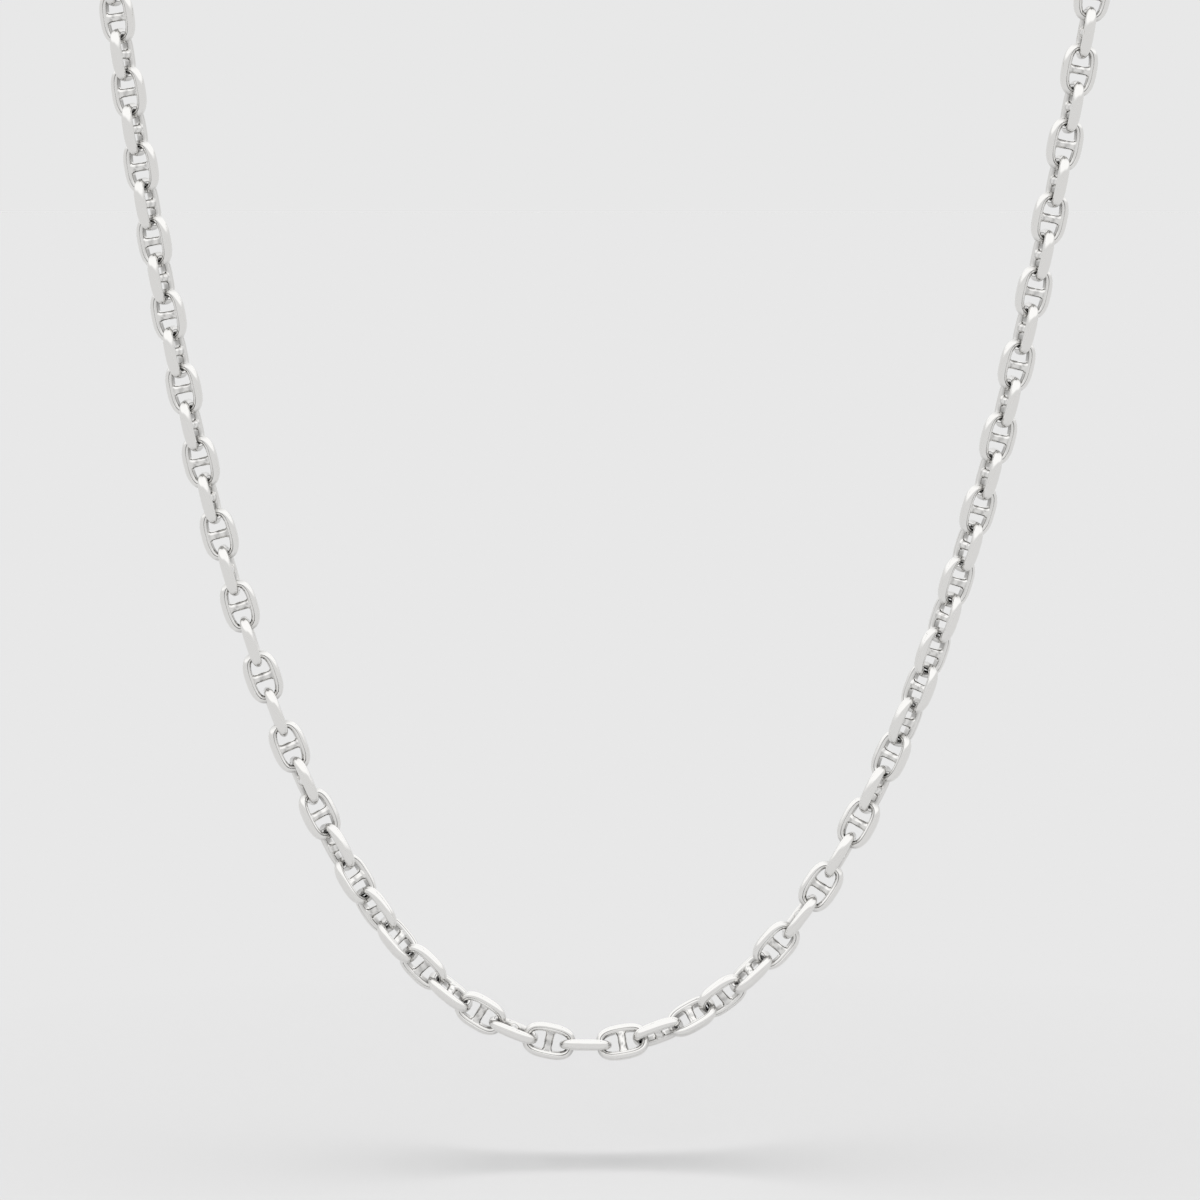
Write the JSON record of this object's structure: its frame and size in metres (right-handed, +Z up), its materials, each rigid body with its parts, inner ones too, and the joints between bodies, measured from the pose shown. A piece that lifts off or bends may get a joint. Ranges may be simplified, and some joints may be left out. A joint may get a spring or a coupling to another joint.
{
  "type": "anchor-link neck chain",
  "caption": "Silver neck chain of flattened oval links, each with a bar across its middle, worn in a long U, with a plain claw clasp at the nape.",
  "frame": {"origin": "middle of the hollow that the neck goes through, at the height where the chain lies round the neck", "axes": "+X to the right in the front view, +Y to the nape, +Z up along the neck; the front hangs down -Z"},
  "size_m": [0.1285, 0.0822, 0.1533],
  "materials": {
    "silver": "polished sterling silver"
  },
  "bodies": {
    "root": {"link_left_20": "silver", "link_left_19": "silver", "link_left_18": "silver", "link_left_17": "silver", "link_left_16": "silver", "link_left_15": "silver", "link_left_14": "silver", "link_left_13": "silver", "link_left_12": "silver", "link_left_11": "silver", "link_left_10": "silver", "link_left_09": "silver", "link_left_08": "silver", "link_left_07": "silver", "link_left_06": "silver", "link_left_05": "silver", "link_left_04": "silver", "link_left_03": "silver", "link_left_02": "silver", "link_left_01": "silver", "link_lowest": "silver", "link_right_01": "silver", "link_right_02": "silver", "link_right_03": "silver", "link_right_04": "silver", "link_right_05": "silver", "link_right_06": "silver", "link_right_07": "silver", "link_right_08": "silver", "link_right_09": "silver", "link_right_10": "silver", "link_right_11": "silver", "link_right_12": "silver", "link_right_13": "silver", "link_right_14": "silver", "link_right_15": "silver", "link_right_16": "silver", "link_right_17": "silver", "link_right_18": "silver", "link_right_19": "silver", "link_right_20": "silver", "run_left_1": "silver", "run_left_2": "silver", "run_left_3": "silver", "run_left_4": "silver", "run_left_5": "silver", "run_left_6": "silver", "run_left_7": "silver", "run_left_8": "silver", "run_right_1": "silver", "run_right_2": "silver", "run_right_3": "silver", "run_right_4": "silver", "run_right_5": "silver", "run_right_6": "silver", "run_right_7": "silver", "run_right_8": "silver", "clasp": "silver"}
  },
  "joints": []
}
